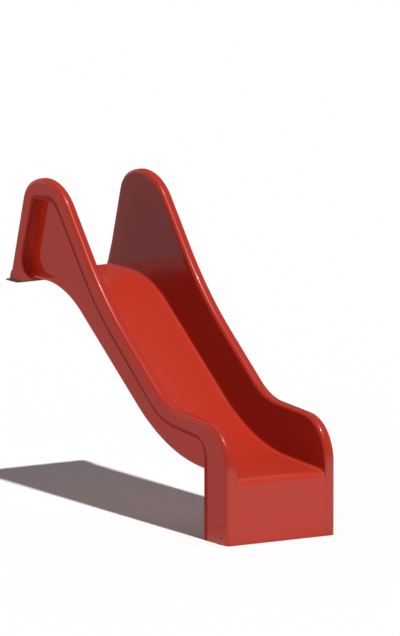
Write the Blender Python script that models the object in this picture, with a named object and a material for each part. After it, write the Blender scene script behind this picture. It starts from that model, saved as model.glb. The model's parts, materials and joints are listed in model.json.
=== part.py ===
"""Fibreglass slide for the edge of a play platform.

One glass-fibre moulding makes the bed, both side walls, the hoods at the top and the box foot.
Each wall ends in a broad rounded rim turned outward, with a deep band hanging from its outer
edge, so a recess stays open behind the band. Under the moulding are two bonded stiffening ribs
and a backing board. A steel plate bolted below the board fixes the start to the platform, and a
steel angle bolted inside each leg fixes the foot to the ground.

The profiles are drawn in the side view: b is the distance behind the foot's front face and z the
height above the ground. y is measured inward from the outer face of the near side. The model
stands on the ground with its exit toward +X and the middle of its length and width at the origin.
"""
import math

import bpy
import bmesh
import numpy as np

GAP = 0.0003            # clearance between pieces that touch
HOLE_CLEARANCE = 0.0005  # round a bolt's shank, all round

# Overall sizes
WIDTH = 0.534           # over the outer faces of the bands
BED_HEIGHT = 0.909      # sliding surface at the start
LAMINATE = 0.005        # thickness of the moulding

# Rim seen from the side: corners of its top line, and the radii that round them.
# The hood's heights are taken from the sliding surface at the start.
HOOD_FOOT_B = 1.798     # foot of the hood's back edge
HOOD_FOOT_DROP = 0.029  # how far that foot lies below the sliding surface
HOOD_BACK_B = 1.668
HOOD_BACK_RISE = 0.4055
HOOD_BACK_RADIUS = 0.128
HOOD_FRONT_B = 1.434
HOOD_FRONT_RISE = 0.497
HOOD_FRONT_RADIUS = 0.247
RIM_BEND = (1.019, 0.895)
RIM_BEND_RADIUS = 1.782
RIM_RUN_OUT = (0.5045, 0.521)
RIM_RUN_OUT_RADIUS = 0.3375
FOOT_TOP_Z = 0.492
FOOT_TOP_RADIUS = 0.189

# Sliding surface seen from the side
START_BACK_B = 1.789    # back face below the start
START_EDGE_RADIUS = 0.009
START_LIP_B = 1.4157
START_LIP_RADIUS = 0.521
BED_BEND = (0.7625, 0.440)
BED_BEND_RADIUS = 0.866
BED_RUN_OUT = (0.506, 0.304)
BED_RUN_OUT_RADIUS = 0.969
EXIT_Z = 0.278
EXIT_RADIUS = 0.038

# Lower edge of the band seen from the side
TONGUE_B = 1.552        # front end of the strip under the recess
TONGUE_END = 0.004      # height of the strip there
TONGUE_RADIUS = 0.003
RECESS_FLOOR_RISE = 0.009
RECESS_BACK_B = 1.716
RECESS_BACK_RADIUS = 0.072
RECESS_TOP_BACK_B = 1.599
RECESS_TOP_BACK_RISE = 0.353
RECESS_TOP_BACK_RADIUS = 0.028
RECESS_TOP_FRONT_B = 1.428
RECESS_TOP_FRONT_RISE = 0.357
RECESS_TOP_FRONT_RADIUS = 0.055
BAND_BEND = (1.078, 0.850)
BAND_BEND_RADIUS = 1.060
BAND_RUN_OUT = (0.554, 0.448)
BAND_RUN_OUT_RADIUS = 0.383
LEG_DEPTH = 0.195
LEG_TOP_Z = 0.420
LEG_RADIUS = 0.063

# Cross-section of one side
RIM_WIDTH = 0.051       # outer face of the band to the wall
WALL_DRAFT = 0.0015     # lean of the wall, each way from RIM_WIDTH
RIM_OUTER_RADIUS = 0.020
RIM_INNER_RADIUS = 0.017
HOOD_FOOT_RADIUS = 0.007  # the outer rounding at the hood's foot
HOOD_FOOT_HEIGHT = 0.032  # up to which it stays that small
HOOD_FOOT_FADE = 0.014  # over which it grows to RIM_OUTER_RADIUS
BED_FILLET = 0.021
LIP_WIDTH = 0.014       # strip along the band's free edge
LIP_TURN = 0.004        # how far that strip turns inward
BAND_MIDDLE = 0.65      # share of the band's width where its faces divide

# Start plate and what holds it
PLATE_THICKNESS = 0.006
PLATE_DEPTH = 0.093
PLATE_BEHIND = 0.019    # how far it reaches behind the moulding
PLATE_OVERHANG = 0.010  # past each side of the moulding
PLATE_CORNER = 0.006
SCREW_HOLE = 0.007
SCREW_HOLES = 4
SCREW_EDGE = 0.0095     # hole centres in from the plate's back edge
SCREW_END = 0.060
BOARD_THICKNESS = 0.018
BOARD_DEPTH = 0.080
BOARD_SIDE = 0.004      # board in from where the bed's fillet starts
START_BOLTS = 3
START_BOLT_END = 0.0395  # outer bolts in from the board's ends
START_BOLT_B = 1.7595
START_BOLT_SHORT = 0.0015  # bolt ends above the plate's underside
NUT_POCKET = 0.0165     # hole in the board round each weld nut

# Fasteners, all of one thread size
SHANK = 0.008
HEAD = 0.014
HEAD_HEIGHT = 0.0042
HEAD_RIM = 0.001        # straight rim below the domed head
COUNTERSUNK_HEAD = 0.0155
COUNTERSUNK_DROP = 0.0003
WASHER = 0.017
WASHER_THICKNESS = 0.0016
NUT = 0.013             # across flats
NUT_THICKNESS = 0.0065
SHANK_END = 0.003       # past the nut

# Foot brackets
BRACKET_LENGTH = 0.050
BRACKET_HEIGHT = 0.110
BRACKET_TOE = 0.050
BRACKET_THICKNESS = 0.005
BRACKET_RADIUS = 0.006
FOOT_BOLT_B = 0.050
FOOT_BOLT_LOW_Z = 0.030
FOOT_BOLT_SPACING = 0.052
ANCHOR_HOLE = 0.011

# Stiffening ribs under the bed
RIB_SIDE = 0.167        # their middle lines in from the moulding's outer faces
RIB_HEIGHT = 0.026
RIB_TOP_WIDTH = 0.034
RIB_BASE_WIDTH = 0.048
RIB_FLANGE_WIDTH = 0.084
RIB_FLANGE = 0.003
RIB_RUN_UP = 0.070      # length over which each end rises to full height
RIB_END_HEIGHT = 0.008
RIB_BACK_GAP = 0.030    # to the backing board
RIB_FRONT_B = 0.260

LENGTH = START_BACK_B + PLATE_BEHIND
FRONT_X = LENGTH / 2
BOARD_TOP_Z = BED_HEIGHT - LAMINATE - GAP
BOARD_LOW_Z = BOARD_TOP_Z - BOARD_THICKNESS
PLATE_TOP_Z = BOARD_LOW_Z - GAP
PLATE_LOW_Z = PLATE_TOP_Z - PLATE_THICKNESS
SHELL_BOTTOM_Z = BOARD_LOW_Z
ARC_STEP = math.radians(3)
ROUND_SEGMENTS = 16
NUT_SEGMENTS = 12


def clear_scene():
    for thing in list(bpy.data.objects):
        bpy.data.objects.remove(thing, do_unlink=True)


def material(name, colour, roughness, metallic=0.0):
    """A Principled material; the colour is linear."""
    made = bpy.data.materials.new(name)
    made.use_nodes = True
    shader = made.node_tree.nodes["Principled BSDF"]
    shader.inputs["Base Color"].default_value = (*colour, 1.0)
    shader.inputs["Roughness"].default_value = roughness
    shader.inputs["Metallic"].default_value = metallic
    return made


def world(b, y, z):
    """Side-view distance b, inward distance y and height z as a point in the scene."""
    return (FRONT_X - b, y - WIDTH / 2, z)


class Path:
    """A line in the side view with round corners, measured along its length."""

    def __init__(self, corners, radii):
        points = [np.array(corners[0], float)]
        self.marks = []
        for k, radius in enumerate(radii, start=1):
            here = np.array(corners[k], float)
            back = np.array(corners[k - 1], float) - here
            ahead = np.array(corners[k + 1], float) - here
            back /= np.linalg.norm(back)
            ahead /= np.linalg.norm(ahead)
            half = math.acos(max(-1.0, min(1.0, float(back @ ahead)))) / 2
            middle = back + ahead
            centre = here + middle / np.linalg.norm(middle) * radius / math.sin(half)
            reach = radius / math.tan(half)
            first = here + back * reach - centre
            last = here + ahead * reach - centre
            turn = math.pi - 2 * half
            count = max(4, round(turn / ARC_STEP))
            start = len(points)
            for i in range(count + 1):
                f = i / count
                swing = (math.sin((1 - f) * turn) * first + math.sin(f * turn) * last)
                points.append(centre + swing / math.sin(turn))
            self.marks.append((start, start + count))
        points.append(np.array(corners[-1], float))
        self.points = np.array(points)
        steps = np.linalg.norm(np.diff(self.points, axis=0), axis=1)
        self.lengths = np.concatenate([[0.0], np.cumsum(steps)])
        slopes = np.gradient(self.points, self.lengths, axis=0)
        for start, end in [(0, self.marks[0][0])] + self.straights():
            run = self.points[end] - self.points[start]
            slopes[start] = slopes[end] = run / np.linalg.norm(run)
        self.slopes = slopes / np.linalg.norm(slopes, axis=1)[:, None]

    def straights(self):
        ends = [mark[1] for mark in self.marks]
        starts = [mark[0] for mark in self.marks[1:]] + [len(self.points) - 1]
        return list(zip(ends, starts))

    def end(self):
        return self.lengths[-1]

    def before(self, corner):
        return self.lengths[self.marks[corner - 1][0]]

    def after(self, corner):
        return self.lengths[self.marks[corner - 1][1]]

    def inside(self, corner, share=0.5):
        """A place on a corner's arc."""
        return self.before(corner) + share * (self.after(corner) - self.before(corner))

    def beyond(self, corner, share):
        """A place on the straight that follows a corner."""
        start, end = ([(0, self.marks[0][0])] + self.straights())[corner]
        return self.lengths[start] + share * (self.lengths[end] - self.lengths[start])

    def at_height(self, z, pick=max):
        """The last place on the path with height z, or the first where pick is min."""
        heights = self.points[:, 1]
        k = pick(i for i in range(len(heights) - 1)
                 if min(heights[i], heights[i + 1]) <= z <= max(heights[i], heights[i + 1]))
        share = (z - heights[k]) / (heights[k + 1] - heights[k])
        return self.lengths[k] + share * (self.lengths[k + 1] - self.lengths[k])

    def at(self, lengths):
        """Points and directions at some lengths."""
        both = [np.interp(lengths, self.lengths, data[:, i])
                for data in (self.points, self.slopes) for i in (0, 1)]
        points = np.stack(both[:2], axis=1)
        slopes = np.stack(both[2:], axis=1)
        return points, slopes / np.linalg.norm(slopes, axis=1)[:, None]


def outward(slopes):
    """The side of a path that faces up where it runs toward the exit."""
    return np.stack([slopes[:, 1], -slopes[:, 0]], axis=1)


def side_paths():
    """The rim's top line, the bed's line and the band's lower edge, from the back to the ground."""
    hood_back = (HOOD_BACK_B, BED_HEIGHT + HOOD_BACK_RISE)
    hood_front = (HOOD_FRONT_B, BED_HEIGHT + HOOD_FRONT_RISE)
    foot_z = BED_HEIGHT - HOOD_FOOT_DROP
    share = (SHELL_BOTTOM_Z - foot_z) / (hood_back[1] - foot_z)
    hood_foot = (HOOD_FOOT_B + share * (HOOD_BACK_B - HOOD_FOOT_B), SHELL_BOTTOM_Z)
    rim = Path([hood_foot, hood_back, hood_front, RIM_BEND, RIM_RUN_OUT, (0, FOOT_TOP_Z), (0, 0)],
               [HOOD_BACK_RADIUS, HOOD_FRONT_RADIUS, RIM_BEND_RADIUS, RIM_RUN_OUT_RADIUS,
                FOOT_TOP_RADIUS])
    bed = Path([(START_BACK_B, SHELL_BOTTOM_Z), (START_BACK_B, BED_HEIGHT),
                (START_LIP_B, BED_HEIGHT), BED_BEND, BED_RUN_OUT, (0, EXIT_Z), (0, 0)],
               [START_EDGE_RADIUS, START_LIP_RADIUS, BED_BEND_RADIUS, BED_RUN_OUT_RADIUS,
                EXIT_RADIUS])
    floor = BED_HEIGHT + RECESS_FLOOR_RISE
    edge = Path([(TONGUE_B, floor - TONGUE_END), (TONGUE_B + TONGUE_END, floor),
                 (RECESS_BACK_B, floor), (RECESS_TOP_BACK_B, BED_HEIGHT + RECESS_TOP_BACK_RISE),
                 (RECESS_TOP_FRONT_B, BED_HEIGHT + RECESS_TOP_FRONT_RISE), BAND_BEND,
                 BAND_RUN_OUT, (LEG_DEPTH, LEG_TOP_Z), (LEG_DEPTH, 0)],
                [TONGUE_RADIUS, RECESS_BACK_RADIUS, RECESS_TOP_BACK_RADIUS,
                 RECESS_TOP_FRONT_RADIUS, BAND_BEND_RADIUS, BAND_RUN_OUT_RADIUS, LEG_RADIUS])
    return rim, bed, edge


def stations(rim, bed, edge):
    """Places that belong together on the three paths, as lengths along each.

    Each row gives the steps from the row before, then the place on the rim, the bed and the
    band's edge. The start's back edge and the exit's nose are where rim and bed run together.
    """
    nose = bed.points[bed.marks[4][1]][1]
    turn = bed.points[bed.marks[0][0]][1]
    rows = [
        (0, 0, 0, 0),
        (2, rim.at_height(turn, min), bed.before(1), edge.inside(1)),
        (3, rim.at_height(BED_HEIGHT + 2 * GAP, min), bed.after(1), edge.after(1)),
        (1, HOOD_FOOT_HEIGHT, bed.beyond(1, 0.015), edge.beyond(1, 0.20)),
        (2, HOOD_FOOT_HEIGHT + HOOD_FOOT_FADE, bed.beyond(1, 0.035), edge.beyond(1, 0.70)),
        (1, rim.beyond(0, 0.17), bed.beyond(1, 0.06), edge.before(2)),
        (7, rim.beyond(0, 0.45), bed.beyond(1, 0.20), edge.after(2)),
        (2, rim.before(1), bed.beyond(1, 0.42), edge.before(3)),
        (5, rim.after(1), bed.beyond(1, 0.66), edge.after(3)),
        (5, rim.inside(2), bed.beyond(1, 0.95), edge.before(4)),
        (5, rim.after(2), bed.inside(2, 0.60), edge.after(4)),
        (3, rim.before(3), bed.beyond(2, 0.15), edge.before(5)),
        (5, rim.after(3), bed.beyond(2, 0.80), edge.after(5)),
        (3, rim.before(4), bed.beyond(3, 0.95), edge.before(6)),
        (5, rim.after(4), bed.inside(4, 0.70), edge.after(6)),
        (2, rim.before(5), bed.beyond(4, 0.30), edge.beyond(6, 0.60)),
        (7, rim.inside(5, 0.88), bed.before(5), edge.inside(7, 0.70)),
        (2, rim.after(5), bed.inside(5, 0.40), edge.after(7)),
        (4, rim.at_height(nose), bed.after(5), edge.at_height(nose)),
        (3, rim.end(), bed.end(), edge.end()),
    ]
    table = [rows[0][1:]]
    for last, row in zip(rows, rows[1:]):
        for i in range(1, row[0] + 1):
            f = i / row[0]
            table.append([(1 - f) * a + f * c for a, c in zip(last[1:], row[1:])])
    return np.array(table)


def arc(steps):
    """Sines and cosines of a quarter turn."""
    angles = [math.pi / 2 * i / steps for i in range(steps + 1)]
    return [(math.sin(a), math.cos(a)) for a in angles]


def half_section(depth, rim, bed, edge, places):
    """One side of the moulding, as rows of points (b, y, z) from the bed's middle to the lip.

    depth is the distance below the visible surface. The wall's roundings shrink with the wall,
    so bed and rim run into one flat face at the nose and at the start's back edge.
    """
    rim_at, rim_slope = rim.at(places[:, 0])
    bed_at, bed_slope = bed.at(places[:, 1])
    edge_at, _ = edge.at(places[:, 2])
    rim_out = outward(rim_slope)
    bed_out = outward(bed_slope)
    # on the hood's straight back edge the sections turn level toward its lower end
    share = np.clip(1 - places[:, 0] / rim.before(1), 0, 1)[:, None]
    sink = -rim_out + share * rim_slope * (rim_out[:, 1:] / np.maximum(rim_slope[:, 1:], 0.2))

    rise = rim_at - bed_at
    height = np.minimum((rise * bed_out).sum(1), (rise * rim_out).sum(1))
    height = np.maximum(height, 0)[:, None]
    fillet = np.minimum(BED_FILLET + depth, 0.45 * height)
    rounding = np.minimum(RIM_INNER_RADIUS - depth, 0.45 * height)
    bed_at = bed_at - bed_out * depth
    rim_at = rim_at + sink * depth
    wall_low = RIM_WIDTH + WALL_DRAFT - depth
    wall_high = RIM_WIDTH - WALL_DRAFT - depth
    foot = [HOOD_FOOT_HEIGHT, HOOD_FOOT_HEIGHT + HOOD_FOOT_FADE]
    outer = np.interp(places[:, 0], foot, [HOOD_FOOT_RADIUS, RIM_OUTER_RADIUS]) - depth

    rows = [(WIDTH / 2, bed_at)]
    for sine, cosine in arc(4):
        y = wall_low + (BED_FILLET + depth) * (1 - sine)
        rows.append((y, bed_at + bed_out * fillet * (1 - cosine)))
    for sine, cosine in arc(4):
        y = wall_high - (RIM_INNER_RADIUS - depth) * (1 - cosine)
        rows.append((y, rim_at + sink * rounding * (1 - sine)))
    for sine, cosine in arc(5):
        rows.append((depth + outer * (1 - sine), rim_at + sink * (outer * (1 - cosine))[:, None]))
    toward = rows[-1][1] - edge_at
    reach = np.linalg.norm(toward, axis=1)[:, None]
    toward /= reach
    # the band's lower end lies on the plate as far as the plate's front edge
    middle = edge_at + toward * (LIP_WIDTH + (reach - LIP_WIDTH) * BAND_MIDDLE)
    middle[0] = (LENGTH - PLATE_DEPTH, SHELL_BOTTOM_Z)
    rows.append((depth, middle))
    rows.append((depth, edge_at + toward * LIP_WIDTH))
    rows.append((depth + LIP_TURN, edge_at))
    return np.array([[(p[0], w, p[1]) for w, p in zip(np.broadcast_to(y, len(line)), line)]
                     for y, line in rows])


def full_section(depth, *paths):
    """Both sides of the moulding, from the near lip across to the far lip."""
    near = half_section(depth, *paths)[::-1]
    far = near[::-1][1:].copy()
    far[:, :, 1] = WIDTH - far[:, :, 1]
    return np.concatenate([near, far])


def add_object(name, bm, finish, smooth_angle=30):
    """Turn a bmesh into a closed, outward-facing object."""
    bmesh.ops.recalc_face_normals(bm, faces=bm.faces)
    mesh = bpy.data.meshes.new(name)
    bm.to_mesh(mesh)
    bm.free()
    mesh.materials.append(finish)
    mesh.shade_smooth()
    mesh.set_sharp_from_angle(angle=math.radians(smooth_angle))
    made = bpy.data.objects.new(name, mesh)
    bpy.context.collection.objects.link(made)
    return made


def shell(finish):
    """The moulding: a visible and a hidden skin, joined along their four borders."""
    paths = side_paths()
    places = stations(*paths)
    skins = [full_section(depth, *paths, places) for depth in (0.0, LAMINATE)]
    rows, columns = skins[0].shape[:2]
    bm = bmesh.new()
    verts = [[[bm.verts.new(world(*skin[i, j])) for j in range(columns)] for i in range(rows)]
             for skin in skins]
    top, under = verts
    for skin in verts:
        for i in range(rows - 1):
            for j in range(columns - 1):
                bm.faces.new((skin[i][j], skin[i + 1][j], skin[i + 1][j + 1], skin[i][j + 1]))
    for j in range(columns - 1):
        for i in (0, rows - 1):
            bm.faces.new((top[i][j], top[i][j + 1], under[i][j + 1], under[i][j]))
    for i in range(rows - 1):
        for j in (0, columns - 1):
            bm.faces.new((top[i][j], top[i + 1][j], under[i + 1][j], under[i][j]))
    return add_object("slide_shell", bm, finish)


def box(bm, low, high):
    """A block between two corners given as (b, y, z)."""
    a = world(*low)
    c = world(*high)
    made = bmesh.ops.create_cube(bm, size=1.0)["verts"]
    for vert in made:
        for k in range(3):
            middle = (a[k] + c[k]) / 2
            vert.co[k] = middle + vert.co[k] * abs(c[k] - a[k])
    return made


def turned(bm, profile, origin, axis, segments=ROUND_SEGMENTS):
    """A closed body turned about an axis through origin.

    The profile lists (radius, height) from one end to the other. A radius of zero closes that
    end; a profile that returns to its start makes a ring.
    """
    origin = np.array(origin, float)
    axis = np.array(axis, float) / np.linalg.norm(axis)
    side = np.cross(axis, (1.0, 0.0, 0.0) if abs(axis[0]) < 0.9 else (0.0, 1.0, 0.0))
    side /= np.linalg.norm(side)
    across = np.cross(axis, side)
    rings = []
    for radius, height in profile:
        if radius == 0:
            rings.append([bm.verts.new(origin + axis * height)] * segments)
            continue
        ring = []
        for k in range(segments):
            turn = 2 * math.pi * k / segments
            out = side * math.cos(turn) + across * math.sin(turn)
            ring.append(bm.verts.new(origin + axis * height + out * radius))
        rings.append(ring)
    ring_shaped = profile[0][0] != 0
    pairs = list(zip(rings, rings[1:] + rings[:1])) if ring_shaped else list(zip(rings, rings[1:]))
    for low, high in pairs:
        for k in range(segments):
            n = (k + 1) % segments
            corners = [low[k], low[n], high[n], high[k]]
            unique = [v for i, v in enumerate(corners) if v not in corners[:i]]
            if len(unique) > 2:
                bm.faces.new(unique)


def rod(radius, start, end):
    return [(0, start), (radius, start), (radius, end), (0, end)]


def ring(inner, outer, start, end):
    return [(inner, start), (outer, start), (outer, end), (inner, end)]


def turned_object(name, profile, origin, axis, finish):
    bm = bmesh.new()
    turned(bm, profile, origin, axis)
    return add_object(name, bm, finish)


def hex_nut(name, origin, axis, start, finish):
    """A plain hexagon nut: its bore clears the shank."""
    bm = bmesh.new()
    count = NUT_SEGMENTS
    bore = (SHANK / 2 + GAP) / math.cos(math.pi / count)
    origin = np.array(origin, float)
    axis = np.array(axis, float)
    side = np.cross(axis, (1.0, 0.0, 0.0))
    side /= np.linalg.norm(side)
    other = np.cross(axis, side)
    loops = []
    for height in (start, start + NUT_THICKNESS):
        for outside in (False, True):
            loop = []
            for k in range(count):
                turn = 2 * math.pi * k / count
                radius = bore
                if outside:
                    swing = (turn + math.pi / 6) % (math.pi / 3) - math.pi / 6
                    radius = NUT / 2 / math.cos(swing)
                out = side * math.cos(turn) + other * math.sin(turn)
                loop.append(bm.verts.new(origin + axis * height + out * radius))
            loops.append(loop)
    low_in, low_out, high_in, high_out = loops
    for k in range(count):
        n = (k + 1) % count
        for a, c in ((low_in, low_out), (low_out, high_out), (high_out, high_in),
                     (high_in, low_in)):
            bm.faces.new((a[k], a[n], c[n], c[k]))
    return add_object(name, bm, finish)


def washer(name, origin, axis, start, finish):
    return turned_object(name, ring(SHANK / 2 + GAP, WASHER / 2, start, start + WASHER_THICKNESS),
                         origin, axis, finish)


def cut(target, bm):
    """Take a bmesh of closed bodies out of an object."""
    cutter = add_object(target.name + "_cutter", bm, target.data.materials[0])
    cutter.hide_render = True
    cutter.display_type = "WIRE"
    boolean = target.modifiers.new("Holes", "BOOLEAN")
    boolean.operation = "DIFFERENCE"
    boolean.solver = "EXACT"
    boolean.object = cutter


def board_end():
    """Where the backing board ends, in from the moulding's outer face."""
    return RIM_WIDTH + WALL_DRAFT + BED_FILLET + BOARD_SIDE


def start_bolt_places():
    first = board_end() + START_BOLT_END
    step = (WIDTH - 2 * first) / (START_BOLTS - 1)
    return [(START_BOLT_B, first + k * step) for k in range(START_BOLTS)]


def foot_bolt_places():
    """Bolt axes in the legs: side (-1 near, +1 far), b and z."""
    return [(side, FOOT_BOLT_B, FOOT_BOLT_LOW_Z + k * FOOT_BOLT_SPACING)
            for side in (-1, 1) for k in (0, 1)]


def foot_axis(side, b, z):
    """Origin on the leg's outer face and direction into the leg."""
    return world(b, 0 if side < 0 else WIDTH, z), (0, -side, 0)


def shell_holes(target):
    """Countersunk holes in the start and plain holes in the legs."""
    bm = bmesh.new()
    hole = SHANK / 2 + HOLE_CLEARANCE
    cone = COUNTERSUNK_HEAD / 2 + HOLE_CLEARANCE
    for b, y in start_bolt_places():
        seat = COUNTERSUNK_DROP + cone - hole
        turned(bm, [(0, LAMINATE), (cone + LAMINATE, LAMINATE), (cone, -COUNTERSUNK_DROP),
                    (hole, -seat), (hole, -3 * LAMINATE), (0, -3 * LAMINATE)],
               world(b, y, BED_HEIGHT), (0, 0, 1))
    for place in foot_bolt_places():
        origin, axis = foot_axis(*place)
        turned(bm, rod(hole, -LAMINATE, 2 * LAMINATE), origin, axis)
    cut(target, bm)


def start_pieces(board_finish, steel, fastener):
    """Backing board, start plate with its weld nuts, and the bolts through the bed."""
    hole = SHANK / 2 + HOLE_CLEARANCE
    nut_low = PLATE_TOP_Z + GAP
    pocket_top = nut_low + NUT_THICKNESS + GAP

    bm = bmesh.new()
    board_back = START_BACK_B - LAMINATE - START_EDGE_RADIUS
    box(bm, (board_back - BOARD_DEPTH, board_end(), BOARD_LOW_Z),
        (board_back, WIDTH - board_end(), BOARD_TOP_Z))
    board = add_object("start_board", bm, board_finish)
    bm = bmesh.new()
    for b, y in start_bolt_places():
        turned(bm, [(0, BOARD_LOW_Z - 0.01), (NUT_POCKET / 2, BOARD_LOW_Z - 0.01),
                    (NUT_POCKET / 2, pocket_top), (hole, pocket_top), (hole, BOARD_TOP_Z + 0.01),
                    (0, BOARD_TOP_Z + 0.01)], world(b, y, 0), (0, 0, 1))
    cut(board, bm)

    bm = bmesh.new()
    box(bm, (LENGTH - PLATE_DEPTH, -PLATE_OVERHANG, PLATE_LOW_Z),
        (LENGTH, WIDTH + PLATE_OVERHANG, PLATE_TOP_Z))
    upright = [e for e in bm.edges if abs(e.verts[0].co.z - e.verts[1].co.z) > PLATE_THICKNESS / 2]
    bmesh.ops.bevel(bm, geom=upright, offset=PLATE_CORNER, segments=4, affect="EDGES")
    plate = add_object("start_plate", bm, steel)
    bm = bmesh.new()
    for b, y in start_bolt_places():
        turned(bm, rod(hole, PLATE_LOW_Z - 0.01, PLATE_TOP_Z + 0.01), world(b, y, 0), (0, 0, 1))
    span = WIDTH - 2 * SCREW_END
    for k in range(SCREW_HOLES):
        y = SCREW_END + span * k / (SCREW_HOLES - 1)
        turned(bm, rod(SCREW_HOLE / 2, PLATE_LOW_Z - 0.01, PLATE_TOP_Z + 0.01),
               world(LENGTH - SCREW_EDGE, y, 0), (0, 0, 1))
    cut(plate, bm)

    head_top = BED_HEIGHT - COUNTERSUNK_DROP
    head_low = head_top - (COUNTERSUNK_HEAD - SHANK) / 2
    end = PLATE_LOW_Z + START_BOLT_SHORT
    for k, (b, y) in enumerate(start_bolt_places(), start=1):
        origin = world(b, y, 0)
        turned_object(f"start_bolt_{k}",
                      [(0, head_top), (COUNTERSUNK_HEAD / 2, head_top), (SHANK / 2, head_low),
                       (SHANK / 2, end), (0, end)], origin, (0, 0, 1), fastener)
        hex_nut(f"start_nut_{k}", origin, (0, 0, 1), nut_low, fastener)


def bracket(name, side, steel):
    """A steel angle inside one leg, upright against the leg and with its toe on the ground."""
    b_low = FOOT_BOLT_B - BRACKET_LENGTH / 2
    b_high = FOOT_BOLT_B + BRACKET_LENGTH / 2
    face = LAMINATE + GAP
    heel = BRACKET_RADIUS + BRACKET_THICKNESS
    outline = [(face, BRACKET_HEIGHT), (face, heel)]
    for sine, cosine in arc(4)[1:-1]:
        outline.append((face + heel * (1 - cosine), heel * (1 - sine)))
    outline += [(face + heel, 0.0), (face + BRACKET_TOE, 0.0),
                (face + BRACKET_TOE, BRACKET_THICKNESS), (face + heel, BRACKET_THICKNESS)]
    for sine, cosine in arc(4)[::-1][1:-1]:
        outline.append((face + heel - BRACKET_RADIUS * cosine, heel - BRACKET_RADIUS * sine))
    outline += [(face + BRACKET_THICKNESS, heel), (face + BRACKET_THICKNESS, BRACKET_HEIGHT)]
    bm = bmesh.new()
    loops = []
    for b in (b_low, b_high):
        loops.append([bm.verts.new(world(b, y if side < 0 else WIDTH - y, z))
                      for y, z in outline])
    count = len(outline)
    for k in range(count):
        n = (k + 1) % count
        bm.faces.new((loops[0][k], loops[0][n], loops[1][n], loops[1][k]))
    bm.faces.new(loops[0])
    bm.faces.new(loops[1][::-1])
    made = add_object(name, bm, steel)
    bm = bmesh.new()
    hole = SHANK / 2 + HOLE_CLEARANCE
    for place in foot_bolt_places():
        if place[0] == side:
            origin, axis = foot_axis(*place)
            turned(bm, rod(hole, face - 0.003, face + BRACKET_THICKNESS + 0.003), origin, axis)
    toe = (face + heel + face + BRACKET_TOE) / 2
    turned(bm, rod(ANCHOR_HOLE / 2, -BRACKET_THICKNESS, 2 * BRACKET_THICKNESS),
           world(FOOT_BOLT_B, toe if side < 0 else WIDTH - toe, 0), (0, 0, 1))
    cut(made, bm)


def foot_pieces(steel, fastener):
    """Both brackets and the bolts that hold them to the legs."""
    bracket("foot_bracket_near", -1, steel)
    bracket("foot_bracket_far", 1, steel)
    washer_at = LAMINATE + GAP + BRACKET_THICKNESS + GAP
    nut_at = washer_at + WASHER_THICKNESS + GAP
    end = nut_at + NUT_THICKNESS + SHANK_END
    rim = -GAP - HEAD_RIM
    dome = [(HEAD / 2 * sine, rim - (HEAD_HEIGHT - HEAD_RIM) * cosine) for sine, cosine in arc(4)]
    for place in foot_bolt_places():
        origin, axis = foot_axis(*place)
        level = "low" if place[2] == FOOT_BOLT_LOW_Z else "high"
        label = f"{'near' if place[0] < 0 else 'far'}_{level}"
        turned_object(f"foot_bolt_{label}",
                      dome + [(HEAD / 2, -GAP), (SHANK / 2, -GAP), (SHANK / 2, end), (0, end)],
                      origin, axis, fastener)
        washer(f"foot_washer_{label}", origin, axis, washer_at, fastener)
        hex_nut(f"foot_nut_{label}", origin, axis, nut_at, fastener)


def bed_line():
    """Points, outward directions and lengths of the bed's faceted line, from the level start on."""
    rim, bed, edge = side_paths()
    places = stations(rim, bed, edge)[:, 1]
    places = places[(places >= bed.after(1)) & (places <= bed.before(5))]
    points, slopes = bed.at(places)
    steps = np.linalg.norm(np.diff(points, axis=0), axis=1)
    return points, outward(slopes), np.concatenate([[0.0], np.cumsum(steps)])


def rib(name, y_middle, finish):
    """A flanged stiffener that follows the bed's underside and runs out at both ends."""
    line, out, along = bed_line()
    back_b = START_BACK_B - LAMINATE - START_EDGE_RADIUS - BOARD_DEPTH - RIB_BACK_GAP
    first, last = np.interp([-back_b, -RIB_FRONT_B], -line[:, 0], along)
    between = along[(along > first) & (along < last)]
    lengths = np.unique(np.concatenate([between, [first, first + RIB_RUN_UP,
                                                  last - RIB_RUN_UP, last]]))
    points = np.stack([np.interp(lengths, along, line[:, k]) for k in (0, 1)], axis=1)
    out = np.stack([np.interp(lengths, along, out[:, k]) for k in (0, 1)], axis=1)
    bm = bmesh.new()
    loops = []
    for at, normal, length in zip(points, out, lengths):
        run = min(length - first, last - length) / RIB_RUN_UP
        rise = min(1.0, run)
        height = RIB_END_HEIGHT + (RIB_HEIGHT - RIB_END_HEIGHT) * rise
        section = [(-RIB_FLANGE_WIDTH / 2, 0), (RIB_FLANGE_WIDTH / 2, 0),
                   (RIB_FLANGE_WIDTH / 2, RIB_FLANGE), (RIB_BASE_WIDTH / 2, RIB_FLANGE),
                   (RIB_TOP_WIDTH / 2, height), (-RIB_TOP_WIDTH / 2, height),
                   (-RIB_BASE_WIDTH / 2, RIB_FLANGE), (-RIB_FLANGE_WIDTH / 2, RIB_FLANGE)]
        loop = []
        for y, drop in section:
            b, z = at - normal * (LAMINATE + GAP + drop)
            loop.append(bm.verts.new(world(b, y_middle + y, z)))
        loops.append(loop)
    for low, high in zip(loops, loops[1:]):
        for k in range(len(low)):
            n = (k + 1) % len(low)
            bm.faces.new((low[k], low[n], high[n], high[k]))
    bm.faces.new(loops[0])
    bm.faces.new(loops[-1][::-1])
    add_object(name, bm, finish)


def build():
    clear_scene()
    gelcoat = material("gelcoat", (0.50, 0.045, 0.030), 0.18)
    laminate = material("raw_laminate", (0.52, 0.47, 0.30), 0.55)
    wood = material("backing_board", (0.38, 0.24, 0.13), 0.70)
    steel = material("galvanised_steel", (0.42, 0.43, 0.44), 0.45, 0.9)
    fastener = material("stainless_steel", (0.55, 0.55, 0.54), 0.30, 1.0)
    shell_holes(shell(gelcoat))
    rib("bed_rib_near", RIB_SIDE, laminate)
    rib("bed_rib_far", WIDTH - RIB_SIDE, laminate)
    start_pieces(wood, steel, fastener)
    foot_pieces(steel, fastener)


build()
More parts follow.
